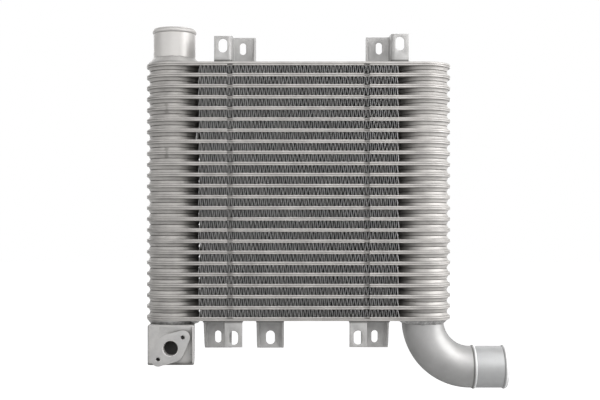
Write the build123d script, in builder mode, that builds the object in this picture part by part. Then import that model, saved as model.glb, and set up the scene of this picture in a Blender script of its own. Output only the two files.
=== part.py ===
"""A charge-air intercooler with a stacked-plate core, in millimetres.

X runs along the tubes, Y from the front face into the core and Z up.
The origin is the middle of the core's front face.
"""

import os
from math import hypot

from build123d import *

# Core stack
tube_count = 22
tube_pitch = 13.0
tube_height = 4.4
core_depth = 66.0
header_spacing = 298.0
plate_gauge = 0.8
end_plate_thickness = 4.8

# Drawn cups that stack into the headers
cup_foot_radius = 31.0
cup_rim_radius = 29.2

# Locating notches in the long edges of every plate
notch_spacing = 160.4
notch_width = 6.4
notch_depth = 5.5

# Corrugated fins between the tubes, and turbulators inside them
fin_length = 236.0
fin_legs = 48
fin_gauge = 0.2
inner_fin_legs = 12
inner_fin_clearance = 0.5

# Hose fittings and the welds round their feet
hose_radius = 25.0
hose_wall = 2.0
bead_height = 1.3
bead_width = 4.4
lip_inset = 0.8
weld_radius = 32.0
weld_height = 7.8
weld_toe = 0.8

# Inlet stub
stub_rise = 42.6
stub_bead_drop = 3.5

# Outlet elbow
elbow_lead = 1.0
elbow_bend_radius = 57.0
seat_length = 43.0
ring_width = 3.6
ring_height = 1.3
ring_setback = 3.5
outlet_bead_setback = 3.0

# Port box
box_width = 51.4
box_left = -177.0
box_bottom_drop = 51.6
box_front_slope = 4.5
box_back = 60.0
box_corner = 3.0
box_neck_radius = 32.3
box_neck_foot_radius = 22.5
box_neck_height = 4.4
box_shoulder = 2.0
box_floor = 5.0
duct_radius = 20.0
port_radius = 8.9
port_x = -150.0
port_drop = 32.0
flange_body_radius = 17.0
flange_lobe_radius = 8.5
flange_thickness = 9.0
flange_bolt_circle = 38.6
flange_tilt = 41.5
flange_bolt_radius = 2.5
flange_bolt_depth = 12.0

# Bracket sheet
sheet_gauge = 2.4
bend_radius = 3.4
front_ear_setback = 1.6
rear_ear_setback = 31.0
front_ear_width = 20.6
front_slot_width = 10.4
front_slot_length = 16.3
front_slot_margin = 11.2
rear_slot_width = 7.4
rear_slot_length = 14.4
rear_slot_margin = 13.3
flange_reach = 13.0
foot_front = 9.0
foot_depth = 15.0

# Upper brackets
top_left_front_x = -88.6
top_left_front_reach = 29.9
top_left_rear_x = -66.7
top_left_rear_end = -50.9
top_left_rear_reach = 32.9
top_right_front_x = 118.9
top_right_front_reach = 32.4
top_right_rear_x = 96.5
top_right_rear_end = 80.4
top_right_rear_reach = 33.5

# Lower brackets
bottom_left_front_x = -76.1
bottom_left_front_reach = 30.9
bottom_left_rear_x = -96.5
bottom_left_rear_reach = 34.9
bottom_middle_x = -33.7
bottom_middle_reach = 35.0
bottom_middle_slot_margin = 12.4
bottom_right_front_x = 70.0
bottom_right_front_reach = 30.6
bottom_right_rear_x = 91.3
bottom_right_rear_reach = 34.5
bottom_rear_ear_width = 32.6

# Worked out from the sizes above
fin_height = tube_pitch - tube_height
cup_height = fin_height / 2
mid_depth = core_depth / 2
header_x = header_spacing / 2
top_tube_z = (tube_count - 1) / 2 * tube_pitch
stack_top = top_tube_z + tube_height / 2 + fin_height
core_top = stack_top + end_plate_thickness
hose_bore = hose_radius - hose_wall
hose_mid_radius = hose_radius - hose_wall / 2
tube_heights = [top_tube_z - index * tube_pitch for index in range(tube_count)]
fin_heights = [top_tube_z + (0.5 - row) * tube_pitch for row in range(tube_count + 1)]
core_plane = Plane((0, mid_depth, 0))
upward = (Align.CENTER, Align.CENTER, Align.MIN)
downward = (Align.CENTER, Align.CENTER, Align.MAX)

os.makedirs("parts", exist_ok=True)


def save(name, piece):
    """Label a finished piece and write it to its own file."""
    piece.part.label = name
    export_step(piece.part, f"parts/{name}.step")


def header_places(z):
    """The two header axes, at height z."""
    return [(-header_x, mid_depth, z), (header_x, mid_depth, z)]


def plate_outline(inset=0.0):
    """The stadium outline of a plate with its four edge notches."""
    notch_places = [
        (side * notch_spacing / 2, edge * mid_depth) for side in (-1, 1) for edge in (-1, 1)
    ]
    SlotCenterToCenter(header_spacing, core_depth - 2 * inset)
    with Locations(*notch_places):
        Rectangle(notch_width + 2 * inset, 2 * (notch_depth + inset), mode=Mode.SUBTRACT)


def folded_strip(length, height, legs, gauge):
    """Corner points of a zigzag strip that touches both plates with its folds."""
    step = length / legs
    thickness = gauge * hypot(step, height) / step
    upper = []
    lower = []
    for fold in range(legs + 1):
        along = -length / 2 + fold * step
        crest = fold % 2 == 0
        top = height / 2 if crest else thickness - height / 2
        upper.append((along, top))
        lower.append((along, top - thickness))
    return upper + lower[::-1]


# Tube: two plates brazed at their rims, each with a drawn cup at both ends
with BuildPart() as tube_form:
    with BuildSketch(core_plane):
        plate_outline()
    extrude(amount=tube_height / 2)
    with Locations(*header_places(tube_height / 2)):
        Cone(cup_foot_radius, cup_rim_radius, cup_height, align=upward)
    with BuildSketch(core_plane):
        plate_outline(inset=plate_gauge)
    extrude(amount=tube_height / 2 - plate_gauge, mode=Mode.SUBTRACT)
    with Locations(*header_places(tube_height / 2 - plate_gauge)):
        Cone(
            cup_foot_radius - plate_gauge,
            cup_rim_radius - plate_gauge,
            cup_height + plate_gauge,
            align=upward,
            mode=Mode.SUBTRACT,
        )
    mirror(about=core_plane)

for index, z in enumerate(tube_heights):
    with BuildPart() as tube:
        with Locations((0, 0, z)):
            add(tube_form.part)
    save(f"tube_{index + 1:02d}", tube)

# Fin row: one folded foil, flush with both faces of the core
with BuildPart() as fin_form:
    with BuildSketch(Plane.XZ):
        with BuildLine():
            Polyline(*folded_strip(fin_length, fin_height, fin_legs, fin_gauge), close=True)
        make_face()
    extrude(amount=-core_depth)

for row, z in enumerate(fin_heights):
    with BuildPart() as fin:
        with Locations((0, 0, z)):
            add(fin_form.part)
    save(f"fin_{row + 1:02d}", fin)

# Turbulators: a folded strip inside each tube, clear of the notches
inner_fin_height = tube_height - 2 * plate_gauge
inner_fin_width = core_depth - 2 * (notch_depth + plate_gauge + inner_fin_clearance)
with BuildPart() as inner_fin_form:
    with BuildSketch(Plane((0, mid_depth, 0), x_dir=(0, 1, 0), z_dir=(1, 0, 0))):
        with BuildLine():
            Polyline(
                *folded_strip(inner_fin_width, inner_fin_height, inner_fin_legs, fin_gauge),
                close=True,
            )
        make_face()
    extrude(amount=fin_length / 2, both=True)

with BuildPart() as inner_fins:
    with Locations(*[(0, 0, z) for z in tube_heights]):
        add(inner_fin_form.part)
save("inner_fins", inner_fins)


def end_plate(mouths):
    """The upper end plate with its cups, and a (side, radius) mouth for each open header."""
    cup_room = cup_height + tube_height / 2 - plate_gauge
    with BuildPart() as plate:
        with BuildSketch(core_plane.offset(stack_top)):
            plate_outline()
        extrude(amount=tube_height / 2)
        with BuildSketch(core_plane.offset(stack_top + tube_height / 2)):
            SlotCenterToCenter(header_spacing, core_depth)
        extrude(amount=end_plate_thickness - tube_height / 2)
        with Locations(*header_places(stack_top)):
            Cone(cup_rim_radius, cup_foot_radius, cup_height, align=downward)
        with Locations(*header_places(stack_top - cup_height)):
            Cone(
                cup_rim_radius - plate_gauge,
                cup_foot_radius - plate_gauge,
                cup_room,
                align=upward,
                mode=Mode.SUBTRACT,
            )
        for side, radius in mouths:
            with Locations((side * header_x, mid_depth, core_top)):
                Cylinder(radius, end_plate_thickness, align=downward, mode=Mode.SUBTRACT)
    return plate.part


with BuildPart() as top_end_plate:
    add(end_plate([(-1, hose_bore)]))
save("top_end_plate", top_end_plate)

with BuildPart() as bottom_end_plate:
    add(end_plate([(-1, duct_radius), (1, hose_bore)]))
    mirror(about=Plane.XY, mode=Mode.REPLACE)
save("bottom_end_plate", bottom_end_plate)


def raised_ring(middle, width, height):
    """Corner points of a ring round a hose tube: along the tube, then out from its axis."""
    half = width / 2
    land = half - height
    return [
        (middle - half, hose_mid_radius),
        (middle - half, hose_radius),
        (middle - land, hose_radius + height),
        (middle + land, hose_radius + height),
        (middle + half, hose_radius),
        (middle + half, hose_mid_radius),
    ]


# Inlet stub: a turned tube with a welded foot and a rolled bead below its lip
stub_axis = Axis((-header_x, mid_depth, core_top), (0, 0, 1))
stub_bead = raised_ring(stub_rise - stub_bead_drop, bead_width, bead_height)
with BuildPart() as inlet_stub:
    with BuildSketch(Plane(stub_axis.position, x_dir=(1, 0, 0), z_dir=(0, -1, 0))):
        with BuildLine():
            Polyline(
                (hose_bore, 0),
                (weld_radius, 0),
                (weld_radius, weld_toe),
                (hose_radius, weld_height),
                *[(out, up) for up, out in stub_bead[1:-1]],
                (hose_radius, stub_rise - lip_inset),
                (hose_radius - lip_inset, stub_rise),
                (hose_bore, stub_rise),
                close=True,
            )
        make_face()
    revolve(axis=stub_axis)
save("inlet_stub", inlet_stub)

# Outlet elbow: a bent tube, then a straight hose seat between a stop ring and an end bead
elbow_top = Vector(header_x, mid_depth, -core_top)
seat_start = elbow_top + (elbow_bend_radius, 0, -elbow_lead - elbow_bend_radius)
seat_axis = Axis(seat_start, (1, 0, 0))
elbow_axis = Axis(elbow_top, (0, 0, -1))
with BuildPart() as outlet_elbow:
    with BuildLine(Plane(elbow_top, x_dir=(1, 0, 0), z_dir=(0, -1, 0))) as route:
        Line((0, 0), (0, -elbow_lead))
        JernArc((0, -elbow_lead), (0, -1), elbow_bend_radius, 90)
        Line(
            (elbow_bend_radius, -elbow_lead - elbow_bend_radius),
            (elbow_bend_radius + seat_length, -elbow_lead - elbow_bend_radius),
        )
    with BuildSketch(Plane(elbow_top, x_dir=(1, 0, 0), z_dir=(0, 0, -1))):
        Circle(hose_radius)
        Circle(hose_bore, mode=Mode.SUBTRACT)
    sweep(path=route.wires()[0])
    for middle, width, height in (
        (ring_setback, ring_width, ring_height),
        (seat_length - outlet_bead_setback, bead_width, bead_height),
    ):
        with BuildSketch(Plane(seat_start, x_dir=(1, 0, 0), z_dir=(0, -1, 0))):
            with BuildLine():
                Polyline(*raised_ring(middle, width, height), close=True)
            make_face()
        revolve(axis=seat_axis)
    with BuildSketch(Plane(elbow_top, x_dir=(1, 0, 0), z_dir=(0, -1, 0))):
        with BuildLine():
            Polyline(
                (hose_mid_radius, 0),
                (weld_radius, 0),
                (weld_radius, -weld_toe),
                (hose_radius, -weld_height),
                (hose_mid_radius, -weld_height),
                close=True,
            )
        make_face()
    revolve(axis=elbow_axis)
save("outlet_elbow", outlet_elbow)

# Port box: a casting with a neck under the header and a two-bolt flange on its front
box_right = box_left + box_width
box_top = -core_top - box_neck_height
box_bottom = -core_top - box_bottom_drop
port_z = -core_top - port_drop
port_plane = Plane((port_x, 0, port_z), x_dir=(1, 0, 0), z_dir=(0, -1, 0))
with BuildPart() as port_box:
    with BuildSketch(Plane.XY.offset(box_bottom)):
        with BuildLine():
            Polyline(
                (box_left, 0),
                (box_right, box_front_slope),
                (box_right, box_back),
                (box_left, box_back),
                close=True,
            )
        make_face()
    extrude(amount=box_top - box_bottom)
    fillet(port_box.edges().filter_by(Axis.Z), box_corner)
    fillet(port_box.faces().sort_by(Axis.Z)[-1].edges(), box_shoulder)
    with Locations((-header_x, mid_depth, -core_top)):
        Cone(
            box_neck_foot_radius,
            box_neck_radius,
            box_neck_height + box_shoulder,
            align=downward,
        )
    with BuildSketch(port_plane):
        with PolarLocations(flange_bolt_circle / 2, 2, start_angle=flange_tilt):
            Circle(flange_lobe_radius)
        Circle(flange_body_radius)
        make_hull()
    extrude(amount=-flange_thickness)
    with Locations((-header_x, mid_depth, -core_top)):
        Cylinder(
            duct_radius, box_bottom_drop - box_floor, align=downward, mode=Mode.SUBTRACT
        )
    with BuildSketch(port_plane):
        Circle(port_radius)
    extrude(amount=-mid_depth, mode=Mode.SUBTRACT)
    with BuildSketch(port_plane):
        with PolarLocations(flange_bolt_circle / 2, 2, start_angle=flange_tilt):
            Circle(flange_bolt_radius)
    extrude(amount=-flange_bolt_depth, mode=Mode.SUBTRACT)
save("port_box", port_box)

# Brackets: stamped sheet, drawn as standing on the upper plate
front_sheet_y = front_ear_setback + sheet_gauge / 2
rear_sheet_y = rear_ear_setback + sheet_gauge / 2
rear_back = rear_ear_setback + sheet_gauge


def bent_plan(points):
    """The plan of a standing sheet that follows a line of bends."""
    with BuildSketch(Plane.XY.offset(core_top)) as plan:
        with BuildLine():
            FilletPolyline(*points, radius=bend_radius)
        trace(line_width=sheet_gauge)
    return plan.sketch


def flat_plan(left, right, front, back, above=0.0):
    """A rectangle on the plan, at a height above the plate."""
    with BuildSketch(Plane.XY.offset(core_top + above)) as plan:
        with Locations(((left + right) / 2, (front + back) / 2)):
            Rectangle(right - left, back - front)
    return plan.sketch


def slot_outline(x, height, width, length, depth):
    """An upright slot with round ends, at a height above the plate, seen from the front."""
    with BuildSketch(Plane((x, depth, core_top + height), (1, 0, 0), (0, -1, 0))) as outline:
        SlotOverall(length, width, rotation=90)
    return outline.sketch


def front_slot(x, reach):
    """The wide slot of a front ear."""
    return slot_outline(
        x, reach - front_slot_margin, front_slot_width, front_slot_length, front_ear_setback
    )


def rear_slot(x, reach):
    """The narrow slot of a rear ear."""
    return slot_outline(
        x, reach - rear_slot_margin, rear_slot_width, rear_slot_length, rear_ear_setback
    )


def wide_rear_slot(x, reach):
    """The wide slot of a rear ear that stands alone."""
    height = reach - bottom_middle_slot_margin
    return slot_outline(x, height, front_slot_width, front_slot_length, rear_ear_setback)


def flange_waste(x, reach):
    """What is cut from a side flange, so that it tapers from the plate to the ear's end."""
    front = rear_ear_setback - flange_reach
    with BuildSketch(Plane((x, 0, core_top), (0, 1, 0), (1, 0, 0))) as waste:
        with BuildLine():
            Polyline(
                (front, sheet_gauge),
                (front, reach),
                (rear_ear_setback, reach),
                close=True,
            )
        make_face()
    return waste.sketch


def upper_bracket(front_x, front_reach, rear_x, rear_end, rear_reach):
    """A front ear, a web that runs back beside it, a rear ear and its side flange."""
    side = 1 if rear_end > front_x else -1
    front_end = front_x - side * front_ear_width / 2
    web_x = front_x + side * (front_ear_width - sheet_gauge) / 2
    flange_x = rear_end - side * sheet_gauge / 2
    flange_front = rear_ear_setback - flange_reach
    bends = [
        (front_end, front_sheet_y),
        (web_x, front_sheet_y),
        (web_x, rear_sheet_y),
        (flange_x, rear_sheet_y),
        (flange_x, flange_front),
    ]
    with BuildPart() as bracket:
        extrude(bent_plan(bends), amount=max(front_reach, rear_reach))
        low, high = sorted((front_end, web_x + side * sheet_gauge))
        if rear_reach > front_reach:
            above_front = flat_plan(low, high, 0, flange_front, front_reach)
            extrude(above_front, amount=rear_reach - front_reach, mode=Mode.SUBTRACT)
        else:
            low, high = sorted((web_x + side * sheet_gauge / 2, rear_end))
            above_rear = flat_plan(low, high, 0, rear_back, rear_reach)
            extrude(above_rear, amount=front_reach - rear_reach, mode=Mode.SUBTRACT)
        extrude(
            flange_waste(flange_x, rear_reach),
            amount=bend_radius + sheet_gauge,
            both=True,
            mode=Mode.SUBTRACT,
        )
        low, high = sorted((front_end, web_x))
        front_foot = flat_plan(low, high, front_sheet_y, front_ear_setback + foot_depth)
        extrude(front_foot, amount=sheet_gauge)
        low, high = sorted((web_x, flange_x))
        rear_foot = flat_plan(low, high, rear_ear_setback - foot_depth, rear_sheet_y)
        extrude(rear_foot, amount=sheet_gauge)
        extrude(front_slot(front_x, front_reach), amount=-sheet_gauge, mode=Mode.SUBTRACT)
        extrude(rear_slot(rear_x, rear_reach), amount=-sheet_gauge, mode=Mode.SUBTRACT)
    return bracket.part


def lower_bracket(rear_x, rear_reach, flange_sides, front_x=None, front_reach=0.0):
    """A rear ear with side flanges on a foot, and a front ear where front_x is given."""
    half_width = bottom_rear_ear_width / 2
    flange_front = rear_ear_setback - flange_reach
    bends = []
    for side in (-1, 1):
        sheet_x = rear_x + side * (half_width - sheet_gauge / 2)
        end = [(sheet_x, flange_front), (sheet_x, rear_sheet_y)]
        if side not in flange_sides:
            end = [(rear_x + side * half_width, rear_sheet_y)]
        bends += end if side < 0 else end[::-1]
    left = rear_x - half_width
    right = rear_x + half_width
    with BuildPart() as bracket:
        extrude(bent_plan(bends), amount=rear_reach)
        for side in flange_sides:
            extrude(
                flange_waste(rear_x + side * half_width, rear_reach),
                amount=bend_radius + sheet_gauge,
                both=True,
                mode=Mode.SUBTRACT,
            )
        rear_foot = flat_plan(left, right, foot_front, rear_sheet_y)
        extrude(rear_foot, amount=sheet_gauge)
        if front_x is None:
            slot = wide_rear_slot(rear_x, rear_reach)
            extrude(slot, amount=-sheet_gauge, mode=Mode.SUBTRACT)
        else:
            extrude(rear_slot(rear_x, rear_reach), amount=-sheet_gauge, mode=Mode.SUBTRACT)
            low = front_x - front_ear_width / 2
            high = front_x + front_ear_width / 2
            front_foot = flat_plan(low, high, front_ear_setback, foot_front + foot_depth)
            extrude(front_foot, amount=sheet_gauge)
            ear = flat_plan(low, high, front_ear_setback, front_ear_setback + sheet_gauge)
            extrude(ear, amount=front_reach)
            extrude(front_slot(front_x, front_reach), amount=-sheet_gauge, mode=Mode.SUBTRACT)
        mirror(about=Plane.XY, mode=Mode.REPLACE)
    return bracket.part


with BuildPart() as top_left_bracket:
    add(
        upper_bracket(
            top_left_front_x,
            top_left_front_reach,
            top_left_rear_x,
            top_left_rear_end,
            top_left_rear_reach,
        )
    )
save("top_left_bracket", top_left_bracket)

with BuildPart() as top_right_bracket:
    add(
        upper_bracket(
            top_right_front_x,
            top_right_front_reach,
            top_right_rear_x,
            top_right_rear_end,
            top_right_rear_reach,
        )
    )
save("top_right_bracket", top_right_bracket)

with BuildPart() as bottom_left_bracket:
    add(
        lower_bracket(
            bottom_left_rear_x,
            bottom_left_rear_reach,
            (-1,),
            bottom_left_front_x,
            bottom_left_front_reach,
        )
    )
save("bottom_left_bracket", bottom_left_bracket)

with BuildPart() as bottom_middle_bracket:
    add(lower_bracket(bottom_middle_x, bottom_middle_reach, (-1, 1)))
save("bottom_middle_bracket", bottom_middle_bracket)

with BuildPart() as bottom_right_bracket:
    add(
        lower_bracket(
            bottom_right_rear_x,
            bottom_right_rear_reach,
            (1,),
            bottom_right_front_x,
            bottom_right_front_reach,
        )
    )
save("bottom_right_bracket", bottom_right_bracket)
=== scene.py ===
"""Looks of a charge-air intercooler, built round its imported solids. Metres, +Z up.

X runs along the tubes, Y from the front face into the core. Every new piece stands where
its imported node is; sizes come from the nodes' boxes and from the named values below.
"""

import math
import random

import bmesh
import bpy
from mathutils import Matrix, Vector, noise
from mathutils.geometry import tessellate_polygon


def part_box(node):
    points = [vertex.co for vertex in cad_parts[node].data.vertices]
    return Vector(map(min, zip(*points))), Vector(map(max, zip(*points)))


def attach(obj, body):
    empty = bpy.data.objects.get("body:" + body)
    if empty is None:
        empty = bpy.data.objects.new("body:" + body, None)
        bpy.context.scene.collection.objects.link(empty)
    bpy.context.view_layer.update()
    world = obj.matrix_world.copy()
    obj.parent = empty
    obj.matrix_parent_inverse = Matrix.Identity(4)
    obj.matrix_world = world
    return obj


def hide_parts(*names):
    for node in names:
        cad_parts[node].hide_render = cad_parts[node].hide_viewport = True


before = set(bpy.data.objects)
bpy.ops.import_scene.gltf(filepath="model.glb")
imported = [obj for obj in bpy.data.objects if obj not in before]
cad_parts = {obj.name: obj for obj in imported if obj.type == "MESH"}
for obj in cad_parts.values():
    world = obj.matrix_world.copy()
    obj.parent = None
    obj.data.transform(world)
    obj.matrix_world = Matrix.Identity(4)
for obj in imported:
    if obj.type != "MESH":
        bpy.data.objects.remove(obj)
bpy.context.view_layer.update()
scene = bpy.context.scene
mm = 0.001

# Core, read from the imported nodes
tube_names = sorted(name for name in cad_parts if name.startswith("tube_"))
fin_names = sorted(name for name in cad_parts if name.startswith("fin_"))
bracket_names = sorted(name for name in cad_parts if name.endswith("bracket"))
first_tube_low, first_tube_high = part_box(tube_names[0])
first_fin_low, first_fin_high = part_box(fin_names[0])
core_depth = first_tube_high.y - first_tube_low.y
mid_depth = core_depth / 2
header_x = first_tube_high.x - mid_depth
tube_pitch = first_tube_high.z - first_tube_low.z
fin_height = first_fin_high.z - first_fin_low.z
tube_height = tube_pitch - fin_height
cup_height = fin_height / 2
core_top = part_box("top_left_bracket")[0].z
stack_top = first_fin_high.z
inlet_centre = (-header_x, mid_depth)
outlet_centre = (header_x, mid_depth)

# Plates and their drawn cups
plate_gauge = 0.8 * mm
seam_depth = 0.5 * mm
notch_x = 80.2 * mm
notch_width = 6.4 * mm
notch_depth = 4.0 * mm
pinched_notch = 2.2 * mm
end_arc_steps = 40
cup_foot_radius = 31.0 * mm
cup_rim_radius = 29.2 * mm
cup_taper = 0.8
cup_wall_steps = 5
cup_steps = 80
lip_round = 0.5 * mm

# Fin foil: folds that lean in turn and waves from front to back
leg_count = 104
foil_gauge = 0.2 * mm
crest_half = 0.32 * mm
crest_corner = 0.55 * mm
leg_lean = 0.5 * mm
lean_range = (0.3, 1.5)
leg_jitter = 0.18 * mm
row_shift = 0.8 * mm
row_end_gap = 0.8 * mm
wave_height = 1.5 * mm
wave_length = 22.0 * mm
wave_steps = 12

# One fin row's left end is bent out at the front
bent_ends = {"fin_07": 3.2 * mm}
bent_depth = 14.0 * mm
bent_points = 3

# Hose fittings
hose_radius = 25.0 * mm
hose_bore = 23.0 * mm
duct_radius = 20.0 * mm
pipe_steps = 96
bead_width = 4.6 * mm
bead_height = 1.3 * mm
bead_fullness = 0.7
bead_clear = 0.7 * mm
bead_steps = 8
elbow_lead = 1.0 * mm
elbow_bend_radius = 57.0 * mm
seat_length = 43.0 * mm
bend_steps = 28
bore_bend_steps = 14

# Port box, which hangs this far below the core
box_drop = 51.6 * mm

# Angles between faces, in degrees, past which an edge shows as sharp
sharp_angle = 35
soft_form_angle = 60
casting_angle = 32
bracket_angle = 40

rng = random.Random(11)


# Mesh building


class Skin:
    """Gathers loops of points and the faces between them into one closed mesh."""

    def __init__(self):
        self.points = []
        self.shade_and_grime = []
        self.faces = []
        self.slots = []
        self.slot = 0

    def loop(self, points, shade_and_grime=0.0):
        """Add points that share one level of darkening, painted shade with real seams and smudges,
        and give back their numbers.
        """
        start = len(self.points)
        self.points.extend(points)
        self.shade_and_grime.extend([shade_and_grime] * len(points))
        return list(range(start, start + len(points)))

    def face(self, *corners):
        """One face in the material slot of the moment."""
        self.faces.append(corners)
        self.slots.append(self.slot)

    def bridge(self, one, other, closed=True):
        """Quads between two loops of the same length."""
        count = len(one)
        for step in range(count if closed else count - 1):
            after = (step + 1) % count
            self.face(one[step], one[after], other[after], other[step])

    def skin(self, loops):
        """Quads from each loop to the next."""
        for one, other in zip(loops, loops[1:]):
            self.bridge(one, other)

    def cap(self, outer, *holes):
        """Flat triangles inside one loop and outside the others."""
        order = [index for ring in (outer, *holes) for index in ring]
        rings = [[self.points[index] for index in ring] for ring in (outer, *holes)]
        for triangle in tessellate_polygon(rings):
            self.face(*(order[corner] for corner in triangle))

    def build(self, name, materials, angle=sharp_angle):
        """The mesh as an object, with its faces turned outwards."""
        mesh = bpy.data.meshes.new(name)
        mesh.from_pydata([tuple(point) for point in self.points], [], self.faces)
        for material in materials:
            mesh.materials.append(material)
        mesh.polygons.foreach_set("material_index", self.slots)
        mesh.attributes.new("shade_and_grime", "FLOAT", "POINT").data.foreach_set("value", self.shade_and_grime)
        work = bmesh.new()
        work.from_mesh(mesh)
        bmesh.ops.recalc_face_normals(work, faces=work.faces)
        work.to_mesh(mesh)
        work.free()
        return finish_piece(name, mesh, angle)


def finish_piece(name, mesh, angle):
    """An object with smooth faces and sharp edges where the surface turns past the angle."""
    mesh.polygons.foreach_set("use_smooth", [True] * len(mesh.polygons))
    mesh.set_sharp_from_angle(angle=math.radians(angle))
    piece = bpy.data.objects.new(name, mesh)
    scene.collection.objects.link(piece)
    return piece


def declare(piece, slot, *nodes):
    """Hang a piece under the root body and hide the nodes that it stands for; the finish given is
    not used.
    """
    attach(piece, "root")
    if nodes:
        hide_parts(*nodes)


def spokes(count):
    """The cosine and sine at each step of a full turn."""
    angles = [math.tau * step / count for step in range(count)]
    return [(math.cos(angle), math.sin(angle)) for angle in angles]


def circle(centre, radius, count, height):
    """A level ring of points."""
    x, y = centre
    return [Vector((x + radius * c, y + radius * s, height)) for c, s in spokes(count)]


def plate_outline(inset, height, notch):
    """The stadium outline of a plate with a notch near each corner of its long edges."""
    ledge = notch + inset if notch else inset
    half = notch_width / 2 + inset
    edge = [
        (-header_x, inset),
        *[
            (middle + side * half, deep)
            for middle in (-notch_x, notch_x)
            for side, deep in ((-1, inset), (-1, ledge), (1, ledge), (1, inset))
        ],
    ]
    points = list(edge)
    radius = mid_depth - inset
    for side, start in ((1, -math.pi / 2), (-1, math.pi / 2)):
        for step in range(end_arc_steps):
            angle = start + math.pi * step / end_arc_steps
            points.append((
                side * header_x + radius * math.cos(angle),
                mid_depth + radius * math.sin(angle),
            ))
        if side > 0:
            points.extend((-x, core_depth - y) for x, y in edge)
    return [Vector((x, y, height)) for x, y in points[1:]]


# Materials

# Noise is spread between these two levels
noise_low = 0.3
noise_high = 0.7

# Depth of relief, and how much blue a shaded place keeps
relief_depth = 0.3 * mm
shade_blue = 0.97

# Painted shade in corners and grooves, from ambient occlusion: samples, the openness that counts as
# deep or as open, and the shade
crevice_samples = 8
crevice_deep = 0.25
crevice_open = 0.8
painted_crevice_shade = 0.45

# Painted shadow line where the brackets meet the core, and painted shade along the port box's
# bottom edge: where it sets in, where it is full, and its shade
painted_line_from = 3.0 * mm
painted_line_full = 1.5 * mm
painted_line_shade = 0.35

# Long specks of wear
scuff_grain = (90, 90, 260)
scuff_detail = 6.0
scuff_roughness = 0.7
scuff_from = 0.6
scuff_to = 0.72

# Screen levels
screen_white = 255
screen_gamma = 2.2


def node_material(name):
    """A new material with its tree, its shader and the object's own places."""
    material = bpy.data.materials.new(name)
    material.use_nodes = True
    nodes = material.node_tree.nodes
    links = material.node_tree.links
    shader = next(node for node in nodes if node.type == "BSDF_PRINCIPLED")
    place = nodes.new("ShaderNodeTexCoord").outputs["Object"]
    return material, nodes, links, shader, place


def stretch(nodes, links, place, scale):
    """Texture places scaled apart along the three axes."""
    mapping = nodes.new("ShaderNodeMapping")
    mapping.inputs["Scale"].default_value = scale
    links.new(place, mapping.inputs["Vector"])
    return mapping.outputs["Vector"]


def noise_field(nodes, links, place, scale, detail=4.0, roughness=0.55):
    """Cloudy noise over the given places."""
    texture = nodes.new("ShaderNodeTexNoise")
    texture.inputs["Scale"].default_value = scale
    texture.inputs["Detail"].default_value = detail
    texture.inputs["Roughness"].default_value = roughness
    links.new(place, texture.inputs["Vector"])
    return texture.outputs["Fac"]


def blend_range(nodes, links, field, low, high, start=noise_low, end=noise_high):
    """A field turned into numbers from low to high."""
    span = nodes.new("ShaderNodeMapRange")
    span.inputs["From Min"].default_value = start
    span.inputs["From Max"].default_value = end
    span.inputs["To Min"].default_value = low
    span.inputs["To Max"].default_value = high
    links.new(field, span.inputs["Value"])
    return span.outputs["Result"]


def blend_colours(nodes, links, field, dark, light):
    """A field of noise turned into colours from dark to light."""
    ramp = nodes.new("ShaderNodeValToRGB")
    stops = ((noise_low, dark), (noise_high, light))
    for element, (position, colour) in zip(ramp.color_ramp.elements, stops):
        element.position = position
        element.color = (*colour, 1)
    links.new(field, ramp.inputs["Fac"])
    return ramp.outputs["Color"]


def bumps(nodes, links, shader, field, strength):
    """Fine relief on the surface, from a field of heights."""
    bump = nodes.new("ShaderNodeBump")
    bump.inputs["Strength"].default_value = strength
    bump.inputs["Distance"].default_value = relief_depth
    links.new(field, bump.inputs["Height"])
    links.new(bump.outputs["Normal"], shader.inputs["Normal"])


def darken(nodes, links, colour, amount, depth):
    """A colour taken down where amount is 1, to depth of its level."""
    mix = nodes.new("ShaderNodeMix")
    mix.data_type = "RGBA"
    mix.blend_type = "MULTIPLY"
    colour_in = next(socket for socket in mix.inputs if socket.identifier == "A_Color")
    colour_by = next(socket for socket in mix.inputs if socket.identifier == "B_Color")
    colour_by.default_value = (depth, depth, depth * shade_blue, 1)
    links.new(colour, colour_in)
    links.new(amount, mix.inputs["Factor"])
    return next(socket for socket in mix.outputs if socket.identifier == "Result_Color")


def shade_and_grime_field(nodes):
    """The level of darkening that each point of a mesh carries: painted shade in creases and
    pockets, with real seams and smudges.
    """
    mark = nodes.new("ShaderNodeAttribute")
    mark.attribute_name = "shade_and_grime"
    return mark.outputs["Fac"]


def painted_crevice_field(nodes, links, reach):
    """1 deep in a corner or groove and 0 on open faces, to paint shade there from ambient
    occlusion.
    """
    occlusion = nodes.new("ShaderNodeAmbientOcclusion")
    occlusion.samples = crevice_samples
    occlusion.inputs["Distance"].default_value = reach
    openness = occlusion.outputs["AO"]
    return blend_range(nodes, links, openness, 1.0, 0.0, crevice_deep, crevice_open)


def painted_line_field(nodes, links, place, clear, full_shade):
    """0 where the height above or below the core's middle is clear, 1 where the painted shade line
    is full.
    """
    parts = nodes.new("ShaderNodeSeparateXYZ")
    links.new(place, parts.inputs["Vector"])
    height = nodes.new("ShaderNodeMath")
    height.operation = "ABSOLUTE"
    links.new(parts.outputs["Z"], height.inputs[0])
    return blend_range(nodes, links, height.outputs["Value"], 0.0, 1.0, clear, full_shade)


def scuff_field(nodes, links, place):
    """1 in scattered long specks and 0 between them."""
    grain = stretch(nodes, links, place, scuff_grain)
    marks = noise_field(nodes, links, grain, 1.0, scuff_detail, scuff_roughness)
    return blend_range(nodes, links, marks, 0.0, 1.0, scuff_from, scuff_to)


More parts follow.
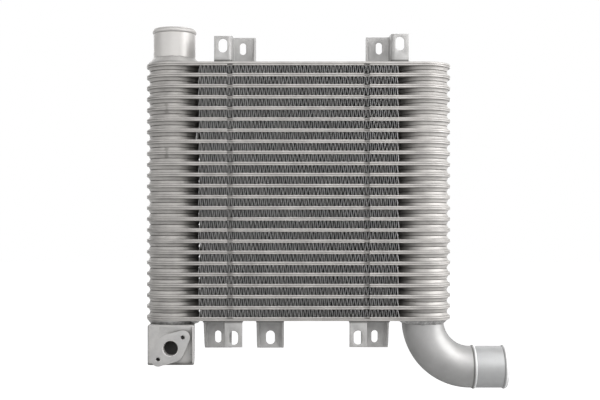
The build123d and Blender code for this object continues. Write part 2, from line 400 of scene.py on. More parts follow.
def aluminium(name, dark, light, metallic, rough, patch=60, grain=(900, 900, 900), relief=0.03,
              shade_and_grime=0.0, crevice=0.0, painted_line=None, gloss=0.5, scuff=1.0, vary=0.07, rim=1.0):
    """Satin aluminium: slow patches of tone, a fine grain in the gloss and a little relief.

    Marked points are darkened by painted shade in creases and pockets and by real seams and
    smudges, and scuff is the shade of specks of wear; crevice is the reach of painted shade in
    corners, a pair of heights bounds a painted shade line, vary is the spread of the roughness,
    and rim the tint of the reflection, most at a glancing angle, which set dark paints shade into
    it.
    """
    material, nodes, links, shader, place = node_material(name)
    patches = noise_field(nodes, links, place, patch)
    fine = noise_field(nodes, links, stretch(nodes, links, place, grain), 1.0, detail=3.0)
    colour = blend_colours(nodes, links, patches, dark, light)
    if shade_and_grime:
        colour = darken(nodes, links, colour, shade_and_grime_field(nodes), shade_and_grime)
    if crevice:
        colour = darken(nodes, links, colour, painted_crevice_field(nodes, links, crevice), painted_crevice_shade)
    if painted_line:
        colour = darken(nodes, links, colour, painted_line_field(nodes, links, place, *painted_line), painted_line_shade)
    if scuff < 1:
        colour = darken(nodes, links, colour, scuff_field(nodes, links, place), scuff)
    roughness = blend_range(nodes, links, fine, rough - vary, rough + vary)
    links.new(colour, shader.inputs["Base Color"])
    links.new(roughness, shader.inputs["Roughness"])
    shader.inputs["Metallic"].default_value = metallic
    shader.inputs["Specular Tint"].default_value = (rim, rim, rim, 1)
    shader.inputs["Specular IOR Level"].default_value = gloss
    bumps(nodes, links, shader, fine, relief)
    return material


def grey(level, warmth=0.0):
    """A linear grey from a screen level of 0 to 255, a little warmer or cooler."""
    linear = (level / screen_white) ** screen_gamma
    return (linear * (1 + warmth), linear, linear * (1 - warmth))


# Dull plates with painted shade in their creases and pockets, fins, and the bare strips inside the
# tubes
plate_material = aluminium(
    "brazed_plate", dark=grey(144, warmth=0.04), light=grey(168, warmth=0.04),
    metallic=0.25, rough=0.44, patch=45, grain=(300, 900, 900), shade_and_grime=0.45, gloss=0.45,
    scuff=0.72,
)
foil_material = aluminium(
    "fin_foil", dark=grey(146, warmth=0.01), light=grey(172, warmth=0.01),
    metallic=0.35, rough=0.5,
)
strip_material = aluminium(
    "inner_strip", dark=grey(120), light=grey(140), metallic=0.4, rough=0.5
)

# Stub, bend, hose seat, and the stop ring and lip, whose light colour is a painted highlight
tube_material = aluminium(
    "drawn_tube", dark=grey(172, warmth=0.03), light=grey(182, warmth=0.03),
    metallic=0.25, rough=0.42, patch=30, grain=(500, 500, 500), relief=0.004, shade_and_grime=0.45,
    vary=0.03,
)
# The bend and seat are darker than the stub and their reflection is tinted dark: painted shade and
# a painted dark reflection
bend_material = aluminium(
    "bent_tube", dark=grey(142, warmth=0.01), light=grey(156, warmth=0.01),
    metallic=0.5, rough=0.44, patch=30, grain=(500, 500, 500), relief=0.004, shade_and_grime=0.4,
    vary=0.03, rim=0.2,
)
seat_material = aluminium(
    "machined_seat", dark=grey(152, warmth=-0.005), light=grey(162, warmth=-0.005),
    metallic=0.35, rough=0.42, grain=(2500, 200, 200), relief=0.01, shade_and_grime=0.45, rim=0.2,
)
highlight_edge_material = aluminium(
    "painted_highlight_edge", dark=grey(200), light=grey(214), metallic=0.1, rough=0.42,
    grain=(500, 500, 500), relief=0.01, shade_and_grime=0.4,
)

# Port box with painted shade in its corners and along its bottom edge, its flange with painted
# shade in its corners, and its bore, painted light inside the port
cast_material = aluminium(
    "cast_alloy", dark=grey(158, warmth=0.015), light=grey(174, warmth=0.025),
    metallic=0.1, rough=0.6, patch=80, grain=(1200, 1200, 1200), relief=0.25,
    crevice=6.0 * mm, scuff=0.8,
    painted_line=(core_top + box_drop - painted_line_from, core_top + box_drop - painted_line_full),
)
flange_material = aluminium(
    "machined_flange", dark=grey(160, warmth=0.01), light=grey(172, warmth=0.02),
    metallic=0.12, rough=0.5, grain=(1500, 1500, 1500), relief=0.12, crevice=2.0 * mm,
)
lit_bore_material = aluminium(
    "port_bore_painted_light", dark=grey(196, warmth=0.02), light=grey(212, warmth=0.02),
    metallic=0.2, rough=0.5,
)

# Brackets, with painted shade in their corners and a painted shadow line where they meet the core,
# and welds
sheet_material = aluminium(
    "bracket_sheet", dark=grey(148, warmth=0.015), light=grey(166, warmth=0.015),
    metallic=0.15, rough=0.5, patch=90, grain=(400, 400, 900), crevice=4.0 * mm, scuff=0.85,
    painted_line=(core_top + painted_line_from, core_top + painted_line_full),
)
weld_material = aluminium(
    "weld_bead", dark=grey(118, warmth=0.01), light=grey(176, warmth=0.01),
    metallic=0.3, rough=0.42, patch=260, relief=0.1, shade_and_grime=0.3,
)
smooth_weld_material = aluminium(
    "smooth_weld", dark=grey(150, warmth=0.03), light=grey(170, warmth=0.03),
    metallic=0.25, rough=0.44, patch=90, shade_and_grime=0.4,
)


# Core

# Inset, height and darkening at each step round a plate's rim, from its seam to its face: painted
# shade in the seam's groove and where the rim turns onto the flat face, with the brazed seam's own
# dark line
rim_profile = [
    (seam_depth, 0.0, 1.0),
    (0.12 * mm, 0.25 * mm, 0.5),
    (0.0, 0.6 * mm, 0.0),
    (0.0, 1.35 * mm, 0.0),
    (0.14 * mm, 1.8 * mm, 0.0),
    (0.42 * mm, 2.08 * mm, 0.1),
    (0.9 * mm, 2.2 * mm, 0.9),
]

# The same round a cup's foot, outwards, and at its lip, inwards and down from the top; the
# darkening is painted shade under the rim at the foot and in the crease where cups meet at the lip,
# with the brazed seam's own dark line
cup_foot_profile = [
    (0.55 * mm, 0.0, 1.0),
    (0.18 * mm, 0.12 * mm, 0.9),
    (0.0, 0.5 * mm, 0.3),
]
cup_lip_profile = [
    (lip_round * 0.6, lip_round * 0.5, 0.7),
    (plate_gauge * 0.9, lip_round * 0.3, 1.0),
    (plate_gauge, 0.0, 1.0),
]

# Inset and depth below the plain face at an end plate's outer edge
plain_edge_profile = [(0.0, 0.7 * mm), (0.22 * mm, 0.25 * mm), (0.8 * mm, 0.0)]
plain_edge_start = 0.3 * mm

# Dark smudges on the headers' rims: the tube, the place along X and how dark it is
smudges = {
    "tube_04": [(-155.0 * mm, 0.6), (167.0 * mm, 0.5)],
    "tube_05": [(168.5 * mm, 0.4)],
    "tube_08": [(-155.0 * mm, 0.7)],
}
smudge_radius = 1.4 * mm
smudge_depth = 6.0 * mm


def cup_loops(skin, centre, foot, way):
    """Loops up one drawn cup from its foot at height foot, over its lip and down inside."""
    loops = []

    def ring(radius, height, shade_and_grime=0.0):
        points = circle(centre, radius, cup_steps, foot + way * height)
        loops.append(skin.loop(points, shade_and_grime))

    for out, up, shade_and_grime in cup_foot_profile:
        ring(cup_foot_radius + out, up, shade_and_grime)
    slope = cup_rim_radius - cup_foot_radius
    start = cup_foot_profile[-1][1]
    end = cup_height - lip_round
    for step in range(1, cup_wall_steps + 1):
        up = start + (end - start) * step / cup_wall_steps
        ring(cup_foot_radius + slope * (up / cup_height) ** cup_taper, up)
    for inward, down, shade_and_grime in cup_lip_profile:
        ring(cup_rim_radius - inward, cup_height - down, shade_and_grime)
    ring(cup_foot_radius - plate_gauge, -plate_gauge)
    return loops


def tube_skin(notch):
    """One tube at height 0: rolled rims with a brazed seam, four cups and an open inside."""
    skin = Skin()
    half = tube_height / 2
    rim = [(inset, -up, shade_and_grime) for inset, up, shade_and_grime in rim_profile[:0:-1]] + rim_profile
    rims = [skin.loop(plate_outline(inset, up, notch), shade_and_grime) for inset, up, shade_and_grime in rim]
    skin.skin(rims)
    walls = []
    for way, edge in ((-1, rims[0]), (1, rims[-1])):
        cups = [cup_loops(skin, (side * header_x, mid_depth), way * half, way) for side in (-1, 1)]
        for loops in cups:
            skin.skin(loops)
        # The flat faces between rim and cups blend both darkenings: painted shade in the pockets
        skin.cap(edge, *[loops[0] for loops in cups])
        inner = skin.loop(plate_outline(plate_gauge, way * (half - plate_gauge), notch))
        skin.cap(inner, *[loops[-1] for loops in cups])
        walls.append(inner)
    skin.bridge(*walls)
    return skin


def smudged(point, shade_and_grime, marks):
    """The darkening of a point, raised where one of the smudges lies on the front of the rim."""
    for x, dark in marks:
        if point.y < smudge_depth and abs(point.x - x) < smudge_radius:
            shade_and_grime = max(shade_and_grime, dark)
    return shade_and_grime


def tube(name, form):
    """One tube's plates: the common form at this tube's height, with its own smudges."""
    low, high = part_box(name)
    rise = Vector((0, 0, (low.z + high.z) / 2))
    marks = smudges.get(name, [])
    skin = Skin()
    skin.faces = form.faces
    skin.slots = form.slots
    skin.shade_and_grime = [smudged(point, base_shade_and_grime, marks) for point, base_shade_and_grime in zip(form.points, form.shade_and_grime)]
    skin.points = [point + rise for point in form.points]
    declare(skin.build(name + "_plates", [plate_material]), "brazed_plate", name)


common_form = tube_skin(notch_depth)
for name in tube_names[:-1]:
    tube(name, common_form)
tube(tube_names[-1], tube_skin(pinched_notch))


def end_plate(name, side, mouths, notch):
    """An end plate: a notched half with cups, a plain half, and a mouth for each open header."""
    skin = Skin()
    thick = core_top - stack_top
    half = tube_height / 2

    def level(up):
        return side * (stack_top + up)

    lower = [(inset, half - up, shade_and_grime) for inset, up, shade_and_grime in rim_profile[::-1]]
    upper = [(0.0, half + plain_edge_start)]
    upper += [(inset, thick - down) for inset, down in plain_edge_profile]
    rims = [skin.loop(plate_outline(inset, level(up), notch), shade_and_grime) for inset, up, shade_and_grime in lower]
    rims += [skin.loop(plate_outline(inset, level(up), notch=0)) for inset, up in upper]
    skin.skin(rims)
    holes = []
    cups = []
    for header in (-1, 1):
        centre = (header * header_x, mid_depth)
        loops = cup_loops(skin, centre, level(0), -side)
        skin.skin(loops)
        cups.append(loops[0])
        if header in mouths:
            way_through = [
                (cup_foot_radius - plate_gauge, half - plate_gauge),
                (mouths[header], half),
                (mouths[header], thick),
            ]
            rings = [
                skin.loop(circle(centre, radius, cup_steps, level(up)))
                for radius, up in way_through
            ]
            skin.skin([loops[-1], *rings])
            holes.append(rings[-1])
        else:
            skin.cap(loops[-1])
    skin.cap(rims[0], *cups)
    skin.cap(rims[-1], *holes)
    declare(skin.build(name + "_skin", [plate_material]), "brazed_plate", name)


end_plate("top_end_plate", 1, {-1: hose_bore}, notch_depth)
end_plate("bottom_end_plate", -1, {-1: duct_radius, 1: hose_bore}, pinched_notch)


def foil_line(half_height, left, right):
    """The folded foil seen from the front: legs that lean in turn, joined by short crests."""
    step = (right - left) / leg_count
    line = []
    for leg in range(leg_count):
        up = 1 if leg % 2 == 0 else -1
        middle = left + (leg + 0.5) * step + rng.uniform(-leg_jitter, leg_jitter)
        lean = up * leg_lean * rng.uniform(*lean_range)
        for end in (-up, up):
            corner = middle + end * lean
            inward = 1 if end == up else -1
            on_leg = (corner, end * (half_height - crest_corner))
            on_crest = (corner + inward * crest_half, end * half_height)
            line.extend((on_leg, on_crest) if end == up else (on_crest, on_leg))
    return line


def side_lines(line):
    """The two faces of the foil, half its gauge to each side of the line."""
    faces = ([], [])
    for index, (x, z) in enumerate(line):
        before = line[max(index - 1, 0)]
        after = line[min(index + 1, len(line) - 1)]
        along = Vector((after[0] - before[0], after[1] - before[1])).normalized()
        for face, way in zip(faces, (-1, 1)):
            face.append((
                x - way * along.y * foil_gauge / 2,
                z + way * along.x * foil_gauge / 2,
            ))
    return faces


def fin_row(name):
    """One row of folded foil that waves from front to back and is open at both."""
    low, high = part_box(name)
    middle = (low.z + high.z) / 2
    half_height = (high.z - low.z) / 2 - foil_gauge / 2
    shift = rng.uniform(-row_shift, row_shift)
    line = foil_line(half_height, low.x + row_end_gap + shift, high.x - row_end_gap + shift)
    faces = side_lines(line)
    bend = bent_ends.get(name, 0.0)
    skin = Skin()
    sections = []
    for step in range(wave_steps + 1):
        y = low.y + core_depth * step / wave_steps
        wave = wave_height * math.sin(math.tau * y / wave_length)
        pull = bend * max(0.0, 1 - y / bent_depth)
        sections.append([
            skin.loop([
                Vector((x + wave - (pull if index < bent_points else 0.0), y, middle + z))
                for index, (x, z) in enumerate(face)
            ])
            for face in faces
        ])
    for near, far in zip(sections, sections[1:]):
        for one, other in zip(near, far):
            skin.bridge(one, other, closed=False)
        for end in (0, -1):
            skin.face(near[0][end], near[1][end], far[1][end], far[0][end])
    for section in (sections[0], sections[-1]):
        skin.bridge(*section, closed=False)
    declare(skin.build(name + "_foil", [foil_material], soft_form_angle), "fin_foil", name)


for name in fin_names:
    fin_row(name)

inner_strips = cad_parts["inner_fins"].data
inner_strips.materials.clear()
inner_strips.materials.append(strip_material)


# Hose fittings

# Finishes along a pipe, in the order of its materials; the last is painted light as a painted
# highlight
drawn, machined, painted_bright = 0, 1, 2


def pipe(name, route, outside, inside, finish_at, materials):
    """A pipe along a route: outside and inside are (distance, radius, darkening) from end to end,
    the darkening being painted shade in creases.
    """
    skin = Skin()

    def ring(distance, radius, shade_and_grime=0.0):
        place, across, up = route(distance)
        points = [place + radius * (c * across + s * up) for c, s in spokes(pipe_steps)]
        return skin.loop(points, shade_and_grime)

    outer = [ring(*point) for point in outside]
    inner = [ring(*point) for point in inside]
    for station, one, other in zip(outside, outer, outer[1:]):
        skin.slot = finish_at(station[0])
        skin.bridge(one, other)
    skin.slot = drawn
    skin.skin([outer[-1], *inner[::-1], outer[0]])
    return skin.build(name, materials)


def bead(middle):
    """A rolled bead: its radius rises and falls along the pipe, with painted shade in the creases
    at its two feet.
    """
    swell = []
    for step in range(bead_steps + 1):
        share = step / bead_steps
        rise = bead_height * math.sin(math.pi * share) ** bead_fullness
        shade_and_grime = 1.0 if step in (0, bead_steps) else 0.0
        swell.append((middle + bead_width / 2 * (2 * share - 1), hose_radius + rise, shade_and_grime))
    before = swell[0][0] - bead_clear
    after = swell[-1][0] + bead_clear / 4
    return [(before, hose_radius), *swell, (after, hose_radius)]


# Inlet stub: distance up from its foot, radius and darkening, which is painted shade in creases
stub_low, stub_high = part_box("inlet_stub")
stub_rise = stub_high.z - stub_low.z
stub_outside = [
    (0.0, 26.5 * mm),
    (2.0 * mm, hose_radius),
    (12.0 * mm, hose_radius),
    (24.0 * mm, hose_radius),
    *bead(stub_rise - 3.5 * mm),
    (stub_rise - 0.6 * mm, hose_radius),
    (stub_rise - 0.15 * mm, hose_radius - 0.4 * mm),
    (stub_rise, hose_radius - 1.0 * mm),
]
stub_inside = [
    (0.0, hose_bore),
    (stub_rise - 0.4 * mm, hose_bore),
    (stub_rise, hose_bore + 0.4 * mm),
]


def stub_route(distance):
    """Straight up out of the left header."""
    place = Vector((-header_x, mid_depth, stub_low.z + distance))
    return place, Vector((1, 0, 0)), Vector((0, 1, 0))


def stub_finish(distance):
    """One drawn finish all along."""
    return drawn


stub = pipe(
    "inlet_stub_tube", stub_route, stub_outside, stub_inside, stub_finish, [tube_material]
)
declare(stub, "tube_alloy", "inlet_stub")

# Outlet elbow: distance from the header, radius and darkening, which is painted shade in the
# creases at the feet of the stop ring and the bead
bend_length = elbow_bend_radius * math.pi / 2
seat_start = elbow_lead + bend_length
ring_middle = seat_start + 3.5 * mm
lip_middle = seat_start + seat_length - 3.0 * mm
elbow_end = seat_start + seat_length
ring_from = ring_middle - 0.5 * mm
seat_from = ring_middle + 1.2 * mm
lip_from = lip_middle - 1.0 * mm
elbow_outside = [
    (0.0, 26.2 * mm),
    (elbow_lead, 25.6 * mm),
    *[
        (elbow_lead + bend_length * step / bend_steps, hose_radius)
        for step in range(1, bend_steps + 1)
    ],
    (ring_middle - 3.2 * mm, hose_radius),
    (ring_middle - 2.4 * mm, hose_radius, 0.9),
    (ring_middle - 2.1 * mm, hose_radius + 0.3 * mm, 0.9),
    (ring_middle - 1.2 * mm, hose_radius + 1.1 * mm),
    (ring_middle - 0.4 * mm, hose_radius + 1.3 * mm),
    (ring_middle + 1.0 * mm, hose_radius + 1.3 * mm),
    (ring_middle + 1.5 * mm, hose_radius + 0.9 * mm),
    (ring_middle + 1.8 * mm, hose_radius, 0.5),
    (ring_middle + 2.5 * mm, hose_radius),
    (seat_start + seat_length / 2, hose_radius),
    *bead(lip_middle),
    (elbow_end - 0.3 * mm, hose_radius - 0.15 * mm),
    (elbow_end, hose_radius - 0.6 * mm),
]
elbow_inside = [
    (0.0, hose_bore),
    *[
        (elbow_lead + bend_length * step / bore_bend_steps, hose_bore)
        for step in range(1, bore_bend_steps + 1)
    ],
    (elbow_end - 0.3 * mm, hose_bore),
    (elbow_end, hose_bore + 0.3 * mm),
]


def elbow_route(distance):
    """Down out of the header, round the bend and out along X."""
    top = Vector((header_x, mid_depth, -core_top))
    if distance < elbow_lead:
        turn = 0.0
        place = top - Vector((0, 0, distance))
    else:
        turn = min((distance - elbow_lead) / elbow_bend_radius, math.pi / 2)
        pivot = top + Vector((elbow_bend_radius, 0, -elbow_lead))
        place = pivot + elbow_bend_radius * Vector((-math.cos(turn), 0, -math.sin(turn)))
        place.x += max(0.0, distance - seat_start)
    return place, Vector((math.cos(turn), 0, math.sin(turn))), Vector((0, 1, 0))


def elbow_finish(distance):
    """The drawn bend, the stop ring and lip painted light as a painted highlight, and the machined
    seat between them.
    """
    if distance < ring_from:
        return drawn
    return machined if seat_from < distance < lip_from else painted_bright


elbow = pipe(
    "outlet_elbow_tube", elbow_route, elbow_outside, elbow_inside, elbow_finish,
    [bend_material, seat_material, highlight_edge_material],
)
declare(elbow, "tube_alloy", "outlet_elbow")


# Welds

weld_turn_steps = 288
weld_rise_steps = 14
weld_head = hose_radius + 0.15 * mm
weld_wall = 1.2 * mm
weld_inner_top = 0.8
weld_foot_gap = 0.02 * mm
toe_fade = 4
top_fade = 6

# Lumps go slowly round the weld, ripples fast, with a twist and a drift up its slope
lump_scale = 4.2
lump_out = 0.5
lump_up = 0.14
ripple_count = 52
ripple_twist = 5
ripple_drift = 3
ripple_out = 0.16
swell_out = 0.4


def weld_point(angle, share, foot, head, rise, lumps, seed):
    """How far out and up the weld's face is at one angle and share of its slope."""
    here = Vector((lump_scale * math.cos(angle), lump_scale * math.sin(angle), seed))
    lump = noise.noise(here)
    ripple = math.sin(ripple_count * angle + ripple_twist * share + ripple_drift * lump)
    swell = math.sin(math.pi * share)
    out = foot + (head - foot) * share
    out += swell * (lump_out * lump + ripple_out * ripple + swell_out) * lumps
    return out, rise * share * (1 + lump_up * share * lump)


def weld_crease_shade(share):
    """Painted shade in the creases at the weld's toe and at its top."""
    return max(1 - toe_fade * share, 1 - top_fade * (1 - share), 0.0)


def weld_cone(name, centre, way, foot, head, rise, lumps, seed, material):
    """A fillet weld round a fitting's foot, above the core or below it."""
    skin = Skin()
    x, y = centre
    loops = []
    for step in range(weld_rise_steps + 1):
        share = step / weld_rise_steps
        ring = []
        for turn in range(weld_turn_steps):
            angle = math.tau * turn / weld_turn_steps
            out, up = weld_point(angle, share, foot, head, rise, lumps, seed)
            ring.append(Vector((
                x + out * math.cos(angle), y + out * math.sin(angle), way * (core_top + up),
            )))
        loops.append(skin.loop(ring, weld_crease_shade(share)))
    for up in (rise * weld_inner_top, weld_foot_gap):
        inside = circle(centre, head - weld_wall, weld_turn_steps, way * (core_top + up))
        loops.append(skin.loop(inside))
    skin.skin([*loops, loops[0]])
    declare(skin.build(name, [material], soft_form_angle), "tube_alloy")


weld_cone(
    "inlet_weld", inlet_centre, way=1, foot=32.0 * mm, head=weld_head, rise=7.8 * mm,
    lumps=0.25 * mm, seed=2.0, material=smooth_weld_material,
)
weld_cone(
    "outlet_weld", outlet_centre, way=-1, foot=29.5 * mm, head=weld_head, rise=5.2 * mm,
    lumps=1.4 * mm, seed=5.0, material=weld_material,
)
weld_cone(
    "port_weld", inlet_centre, way=-1, foot=32.2 * mm, head=28.6 * mm, rise=4.9 * mm,
    lumps=0.7 * mm, seed=8.0, material=weld_material,
)


# Port box: a casting with a flange on its front, from profiles and cuts

box_left = -177.0 * mm
box_right_front = -122.2 * mm
box_right_back = -127.6 * mm
box_back = 60.0 * mm
box_front_slope = 0.6 * mm
box_corner = 3.0 * mm
box_corner_steps = 6
box_top = -core_top - 4.4 * mm
box_bottom = -core_top - box_drop
box_shoulder = 2.0 * mm
box_edge = 1.3 * mm
edge_middle = 0.3

# Inset and height of the box's rounded bottom edge, its sides and its shoulder
body_profile = [
    (box_edge, box_bottom),
    (box_edge * edge_middle, box_bottom + box_edge * edge_middle),
    (0.0, box_bottom + box_edge),
    (0.0, box_top - box_shoulder),
    (box_shoulder * edge_middle, box_top - box_shoulder * edge_middle),
    (box_shoulder, box_top),
]

# Radius and height of the neck
neck_radius = 32.3 * mm
neck_foot_radius = 22.5 * mm
neck_profile = [
    (neck_radius, -core_top),
    (neck_radius - 0.4 * mm, -core_top - 0.9 * mm),
    (neck_foot_radius + 2.0 * mm, box_top - 0.4 * mm),
    (neck_foot_radius, box_top - box_shoulder),
]
neck_steps = 96

# Height and depth of the recess on the box's front, which is shallow at its left
recess_left = -163.0 * mm
recess_right = -124.4 * mm
recess_left_depth = 0.2 * mm
recess_depth = 5.5 * mm
recess_rim = 1.8 * mm
recess_fade = 9.0 * mm
recess_profile = [
    (box_bottom + recess_rim, recess_depth),
    (box_top - recess_fade, recess_depth),
    (box_top - recess_rim, box_front_slope),
]
recess_lead = 1.0 * mm

# Duct down from the header, port into it and two bolt holes
duct_ends = (-core_top + 1.0 * mm, box_bottom + 5.0 * mm)
duct_steps = 72
port_x = -150.0 * mm
port_z = -core_top - 32.0 * mm
port_radius = 8.9 * mm
bolt_radius = 2.3 * mm
bolt_depth = 12.0 * mm
hole_lead = 1.0 * mm
hole_flare = 0.45 * mm
hole_steps = 48

# Growth and depth of the flange's face and sides
flange_body_radius = 17.0 * mm
flange_lobe_radius = 8.5 * mm
flange_bolt_circle = 38.6 * mm
flange_tilt = math.radians(41.5)
flange_arc_steps = 16
flange_profile = [
    (-0.5 * mm, 0.02 * mm),
    (-0.12 * mm, 0.14 * mm),
    (0.0, 0.5 * mm),
    (0.0, 8.0 * mm),
]


def rounded_corners(corners, radius):
    """A closed outline, given anticlockwise, with an arc of the radius at each corner."""
    corners = [Vector(corner) for corner in corners]
    points = []
    for index, corner in enumerate(corners):
        before = (corners[index - 1] - corner).normalized()
        after = (corners[(index + 1) % len(corners)] - corner).normalized()
        half = before.angle(after) / 2
        centre = corner + (before + after).normalized() * radius / math.sin(half)
        first = (corner + before * radius / math.tan(half)) - centre
        start = math.atan2(first.y, first.x)
        sweep = math.pi - 2 * half
        for step in range(box_corner_steps + 1):
            angle = start + sweep * step / box_corner_steps
            points.append((
                centre.x + radius * math.cos(angle),
                centre.y + radius * math.sin(angle),
            ))
    return points


def box_plan(inset, height):
    """The box's outline from above at one height, all round its inset."""
    corners = [
        (box_left + inset, inset),
        (box_right_front - inset, box_front_slope + inset),
        (box_right_back - inset, box_back - inset),
        (box_left + inset, box_back - inset),
    ]
    return [Vector((x, y, height)) for x, y in rounded_corners(corners, box_corner - inset / 2)]


def flange_outline(grow, depth):
    """The tight outline round the flange's body and its two lobes, seen from the front."""
    reach = flange_bolt_circle / 2
    spread = math.acos((flange_body_radius - flange_lobe_radius) / reach)
    arcs = [
        (0, flange_body_radius, spread, math.pi - spread),
        (-reach, flange_lobe_radius, math.pi - spread, math.pi + spread),
        (0, flange_body_radius, math.pi + spread, math.tau - spread),
        (reach, flange_lobe_radius, -spread, spread),
    ]
    points = []
    for along, radius, start, end in arcs:
        for step in range(flange_arc_steps + 1):
            angle = start + (end - start) * step / flange_arc_steps
            u = along + (radius + grow) * math.cos(angle)
            v = (radius + grow) * math.sin(angle)
            points.append(Vector((
                port_x + u * math.cos(flange_tilt) - v * math.sin(flange_tilt),
                depth,
                port_z + u * math.sin(flange_tilt) + v * math.cos(flange_tilt),
            )))
    return points


def closed_form(name, loops, material=cast_material):
    """A solid through loops of points, capped at both ends, for a union or a cut."""
    skin = Skin()
    rings = [skin.loop(points) for points in loops]
    skin.skin(rings)
    skin.cap(rings[0])
    skin.cap(rings[-1])
    return skin.build(name, [material])


def recess_plan(height, depth):
    """The recess's wedge from above at one height."""
    return [
        Vector((recess_left, -recess_lead, height)),
        Vector((recess_right, -recess_lead, height)),
        Vector((recess_right, depth, height)),
        Vector((recess_left, recess_left_depth, height)),
    ]


def front_hole(name, x, z, radius, depth, material):
    """A round hole from the front, with a small chamfer at its mouth."""
    stations = [
        (-hole_lead, radius + hole_flare),
        (0.0, radius + hole_flare),
        (hole_flare, radius),
        (depth, radius),
    ]
    return closed_form(name, [
        [Vector((x + reach * c, y, z + reach * s)) for c, s in spokes(hole_steps)]
        for y, reach in stations
    ], material)


def combine(body, steps):
    """Union or cut the body with other forms, which are deleted after it."""
    for operation, other in steps:
        change = body.modifiers.new(operation, "BOOLEAN")
        change.operation = operation
        change.solver = "EXACT"
        change.material_mode = "TRANSFER"
        change.object = other
    evaluated = body.evaluated_get(bpy.context.evaluated_depsgraph_get())
    mesh = bpy.data.meshes.new_from_object(evaluated)
    for _, other in steps:
        bpy.data.objects.remove(other)
    bpy.data.objects.remove(body)
    return mesh


def port_box():
    """The box with its flange and neck, its recess, duct, port and bolt holes."""
    body = closed_form("port_body", [box_plan(*step) for step in body_profile])
    flange = closed_form(
        "port_flange", [flange_outline(*step) for step in flange_profile], flange_material
    )
    neck = closed_form("port_neck", [
        circle(inlet_centre, radius, neck_steps, height) for radius, height in neck_profile
    ])
    recess = closed_form("port_recess", [recess_plan(*step) for step in recess_profile])
    duct = closed_form("port_duct", [
        circle(inlet_centre, duct_radius, duct_steps, height) for height in duct_ends
    ])
    # The port's walls take the bore's light colour, which is painted light inside the port
    port = front_hole("port_cut", port_x, port_z, port_radius, mid_depth, lit_bore_material)
    steps = [
        ("DIFFERENCE", recess),
        ("UNION", flange),
        ("UNION", neck),
        ("DIFFERENCE", duct),
        ("DIFFERENCE", port),
    ]
    for side in (-1, 1):
        x = port_x + side * flange_bolt_circle / 2 * math.cos(flange_tilt)
        z = port_z + side * flange_bolt_circle / 2 * math.sin(flange_tilt)
        hole = front_hole("bolt_cut", x, z, bolt_radius, bolt_depth, flange_material)
        steps.append(("DIFFERENCE", hole))
    casting = finish_piece("port_box_casting", combine(body, steps), casting_angle)
    declare(casting, "cast_alloy", "port_box")


port_box()


# Brackets: their solids with eased edges

merge_distance = 0.002 * mm
flat_angle = math.radians(1)
corner_angle = math.radians(30)
ease_width = 0.35 * mm
ease_segments = 2
ease_fullness = 0.5


def eased_bracket(node):
    """A copy of an imported bracket whose sharp edges are rounded."""
    name = node + "_sheet"
    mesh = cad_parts[node].data.copy()
    mesh.name = name
    work = bmesh.new()
    work.from_mesh(mesh)
    bmesh.ops.remove_doubles(work, verts=work.verts, dist=merge_distance)
    bmesh.ops.dissolve_limit(
        work, angle_limit=flat_angle, verts=work.verts, edges=work.edges
    )
    sharp = [
        edge for edge in work.edges
        if len(edge.link_faces) == 2 and edge.calc_face_angle(0) > corner_angle
    ]
    bmesh.ops.bevel(
        work, geom=sharp, offset=ease_width, segments=ease_segments, affect="EDGES",
        profile=ease_fullness, clamp_overlap=True,
    )
    bmesh.ops.triangulate(work, faces=[face for face in work.faces if len(face.verts) > 4])
    work.to_mesh(mesh)
    work.free()
    mesh.materials.clear()
    mesh.materials.append(sheet_material)
    declare(finish_piece(name, mesh, bracket_angle), "bracket_sheet", node)


for name in bracket_names:
    eased_bracket(name)


# Studio

white = (1, 1, 1, 1)
floor_colour = (0.8, 0.8, 0.8, 1)
floor_drop = 0.62
floor_size = 12.0

# The floor glows from nothing near its middle to white far out
floor_glow = 0.0
glow_from = 1.0
glow_to = 1.9
backdrop_strength = 1.0
fill_strength = 0.12

# Place, target, size and power of each lamp
lamps = {
    "key": ((0.6, -0.4, 0.23), (0.1, 0, -0.1), (0.36, 0.55), 3.4),
    "right": ((1.0, -0.14, 0.15), (0.1, 0, 0), (0.6, 0.9), 8.0),
    "left": ((-1.0, -0.6, 0.3), (-0.1, 0, 0), (0.7, 0.9), 3.0),
    "front": ((0.0, -1.75, 0.7), (0, 0, 0), (2.2, 1.4), 17.0),
    "top": ((0.1, -0.35, 1.1), (0, 0.03, 0), (1.0, 0.6), 4.0),
    "back": ((-0.3, 1.7, 0.9), (0, 0.06, 0), (2.2, 1.4), 17.0),
}

# Camera: the picture is 600 wide and 400 high
camera_distance = 1.170
camera_x = 0.0018
camera_z = -0.0313
sensor_width = 36
focal_length = 60
image_width = 600
eye_level_below_middle = 18


def seen_rays(nodes, links):
    """1 for the rays that show the studio: to the camera, off metal and through glass."""
    path = nodes.new("ShaderNodeLightPath")
    total = path.outputs["Is Camera Ray"]
    for ray in ("Is Glossy Ray", "Is Transmission Ray"):
        either = nodes.new("ShaderNodeMath")
        either.operation = "MAXIMUM"
        links.new(total, either.inputs[0])
        links.new(path.outputs[ray], either.inputs[1])
        total = either.outputs[0]
    return total


def mix_by_rays(nodes, links, unseen, seen):
    """One shader for the rays that show the studio and another for the rest."""
    mix = nodes.new("ShaderNodeMixShader")
    links.new(seen_rays(nodes, links), mix.inputs[0])
    links.new(unseen.outputs[0], mix.inputs[1])
    links.new(seen.outputs[0], mix.inputs[2])
    return mix.outputs[0]


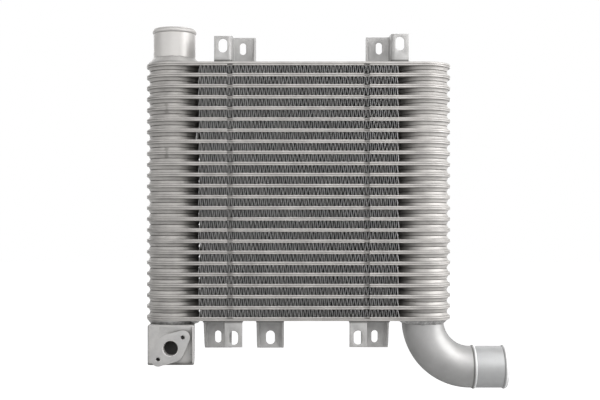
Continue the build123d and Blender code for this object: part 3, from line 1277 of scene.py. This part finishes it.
def floor_shader():
    """A pale floor that shows as white where it is lit and keeps the object's shadow."""
    material = bpy.data.materials.new("floor_white")
    material.use_nodes = True
    nodes = material.node_tree.nodes
    links = material.node_tree.links
    nodes.clear()
    plain = nodes.new("ShaderNodeBsdfDiffuse")
    plain.inputs["Color"].default_value = floor_colour
    reach = nodes.new("ShaderNodeVectorMath")
    reach.operation = "LENGTH"
    links.new(nodes.new("ShaderNodeTexCoord").outputs["Object"], reach.inputs[0])
    far = blend_range(nodes, links, reach.outputs["Value"], floor_glow, 1.0, glow_from, glow_to)
    glow = nodes.new("ShaderNodeEmission")
    links.new(far, glow.inputs["Strength"])
    dark = nodes.new("ShaderNodeEmission")
    dark.inputs["Strength"].default_value = 0.0
    total = nodes.new("ShaderNodeAddShader")
    links.new(plain.outputs[0], total.inputs[0])
    links.new(mix_by_rays(nodes, links, dark, glow), total.inputs[1])
    out = nodes.new("ShaderNodeOutputMaterial")
    links.new(total.outputs[0], out.inputs["Surface"])
    return material


def studio_floor():
    """A wide level square below the object."""
    mesh = bpy.data.meshes.new("floor")
    corners = [(-1, -1), (1, -1), (1, 1), (-1, 1)]
    points = [(x * floor_size, y * floor_size, -floor_drop) for x, y in corners]
    mesh.from_pydata(points, [], [(0, 1, 2, 3)])
    mesh.materials.append(floor_shader())
    floor = bpy.data.objects.new("floor", mesh)
    scene.collection.objects.link(floor)


def background(nodes, strength):
    """White light from all round."""
    shader = nodes.new("ShaderNodeBackground")
    shader.inputs["Color"].default_value = white
    shader.inputs["Strength"].default_value = strength
    return shader


def studio_world():
    """White to look at, with a faint fill on the object."""
    world = bpy.data.worlds.new("studio")
    scene.world = world
    world.use_nodes = True
    nodes = world.node_tree.nodes
    links = world.node_tree.links
    nodes.clear()
    fill = background(nodes, fill_strength)
    seen = background(nodes, backdrop_strength)
    out = nodes.new("ShaderNodeOutputWorld")
    links.new(mix_by_rays(nodes, links, fill, seen), out.inputs["Surface"])


def area_light(name, place, target, size, power):
    """A rectangular lamp at a place, turned to its target and hidden from the camera."""
    lamp = bpy.data.lights.new(name, "AREA")
    lamp.shape = "RECTANGLE"
    lamp.size, lamp.size_y = size
    lamp.energy = power
    holder = bpy.data.objects.new(name, lamp)
    holder.location = place
    holder.rotation_euler = (Vector(target) - Vector(place)).to_track_quat("-Z", "Y").to_euler()
    holder.visible_camera = False
    scene.collection.objects.link(holder)


def front_camera():
    """A level camera in front of the core, with its eye level below the picture's middle."""
    data = bpy.data.cameras.new("camera")
    data.sensor_width = sensor_width
    data.lens = focal_length
    data.shift_y = eye_level_below_middle / image_width
    camera = bpy.data.objects.new("camera", data)
    camera.location = (camera_x, -camera_distance, camera_z)
    camera.rotation_euler = (math.pi / 2, 0, 0)
    scene.collection.objects.link(camera)
    scene.camera = camera


studio_world()
studio_floor()
for name, setting in lamps.items():
    area_light(name, *setting)
front_camera()
scene.view_settings.view_transform = "Standard"
